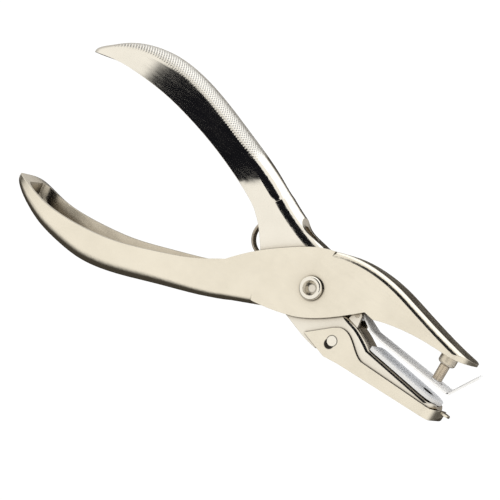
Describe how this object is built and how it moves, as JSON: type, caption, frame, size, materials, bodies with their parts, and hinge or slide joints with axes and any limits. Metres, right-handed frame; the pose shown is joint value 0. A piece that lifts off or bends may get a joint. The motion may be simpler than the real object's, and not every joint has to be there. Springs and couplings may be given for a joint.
{
  "type": "hole punch",
  "caption": "Plier-style hand punch for one small round hole: crossed sheet-metal levers, hollow handles, spring leaf stripper and a swing-out chip tray under the lower jaw.",
  "frame": {"origin": "on the pivot axis, on the flat top of the lower rivet head the tool lies on", "axes": "+Z along the pivot axis, up through the thickness as the tool lies on its side; +X from the pivot towards the jaws; +Y towards the upper jaw and away from the chip tray"},
  "size_m": [0.1455, 0.0622, 0.0148],
  "materials": {
    "lever_nickel": "nickel plated, polished",
    "pivot_nickel": "nickel plated, bright",
    "spring_steel": "drawn spring wire",
    "punch_steel": "nickel plated tool steel, satin",
    "die_steel": "ground, cool grey",
    "leaf_steel": "rolled spring strip",
    "tray_nickel": "nickel plated, satin"
  },
  "bodies": {
    "die": {"die_lever": "lever_nickel", "pivot_rivet": "pivot_nickel", "return_spring": "spring_steel", "die_plate": "die_steel", "stripper_pin": "pivot_nickel"},
    "punch": {"punch_lever": "lever_nickel", "punch_pin": "punch_steel", "punch_socket": "punch_steel"},
    "stripper": {"stripper_leaf": "leaf_steel"},
    "tray": {"chip_tray": "tray_nickel"}
  },
  "joints": [
    {"name": "lever_pivot", "type": "hinge", "parent": "die", "child": "punch", "pos_m": [0, 0, 0.0074], "axis": [0, 0, -1], "range_deg": [0, 6.8], "stiffness_Nm_per_rad": 0.8, "springref_deg": -20.05, "deforming": ["return_spring"]},
    {"name": "stripper_flex", "type": "hinge", "parent": "die", "child": "stripper", "pos_m": [0.0143, 0.001, 0.0074], "axis": [0, 0, -1], "range_deg": [0, 3.1]},
    {"name": "chip_tray_hinge", "type": "hinge", "parent": "die", "child": "tray", "pos_m": [0.0126, -0.0084, 0.0074], "axis": [0, 0, -1], "range_deg": [0, 25]}
  ],
  "couplings": [
    {"joint": "stripper_flex", "follows": "lever_pivot", "ratio": 0.44}
  ]
}
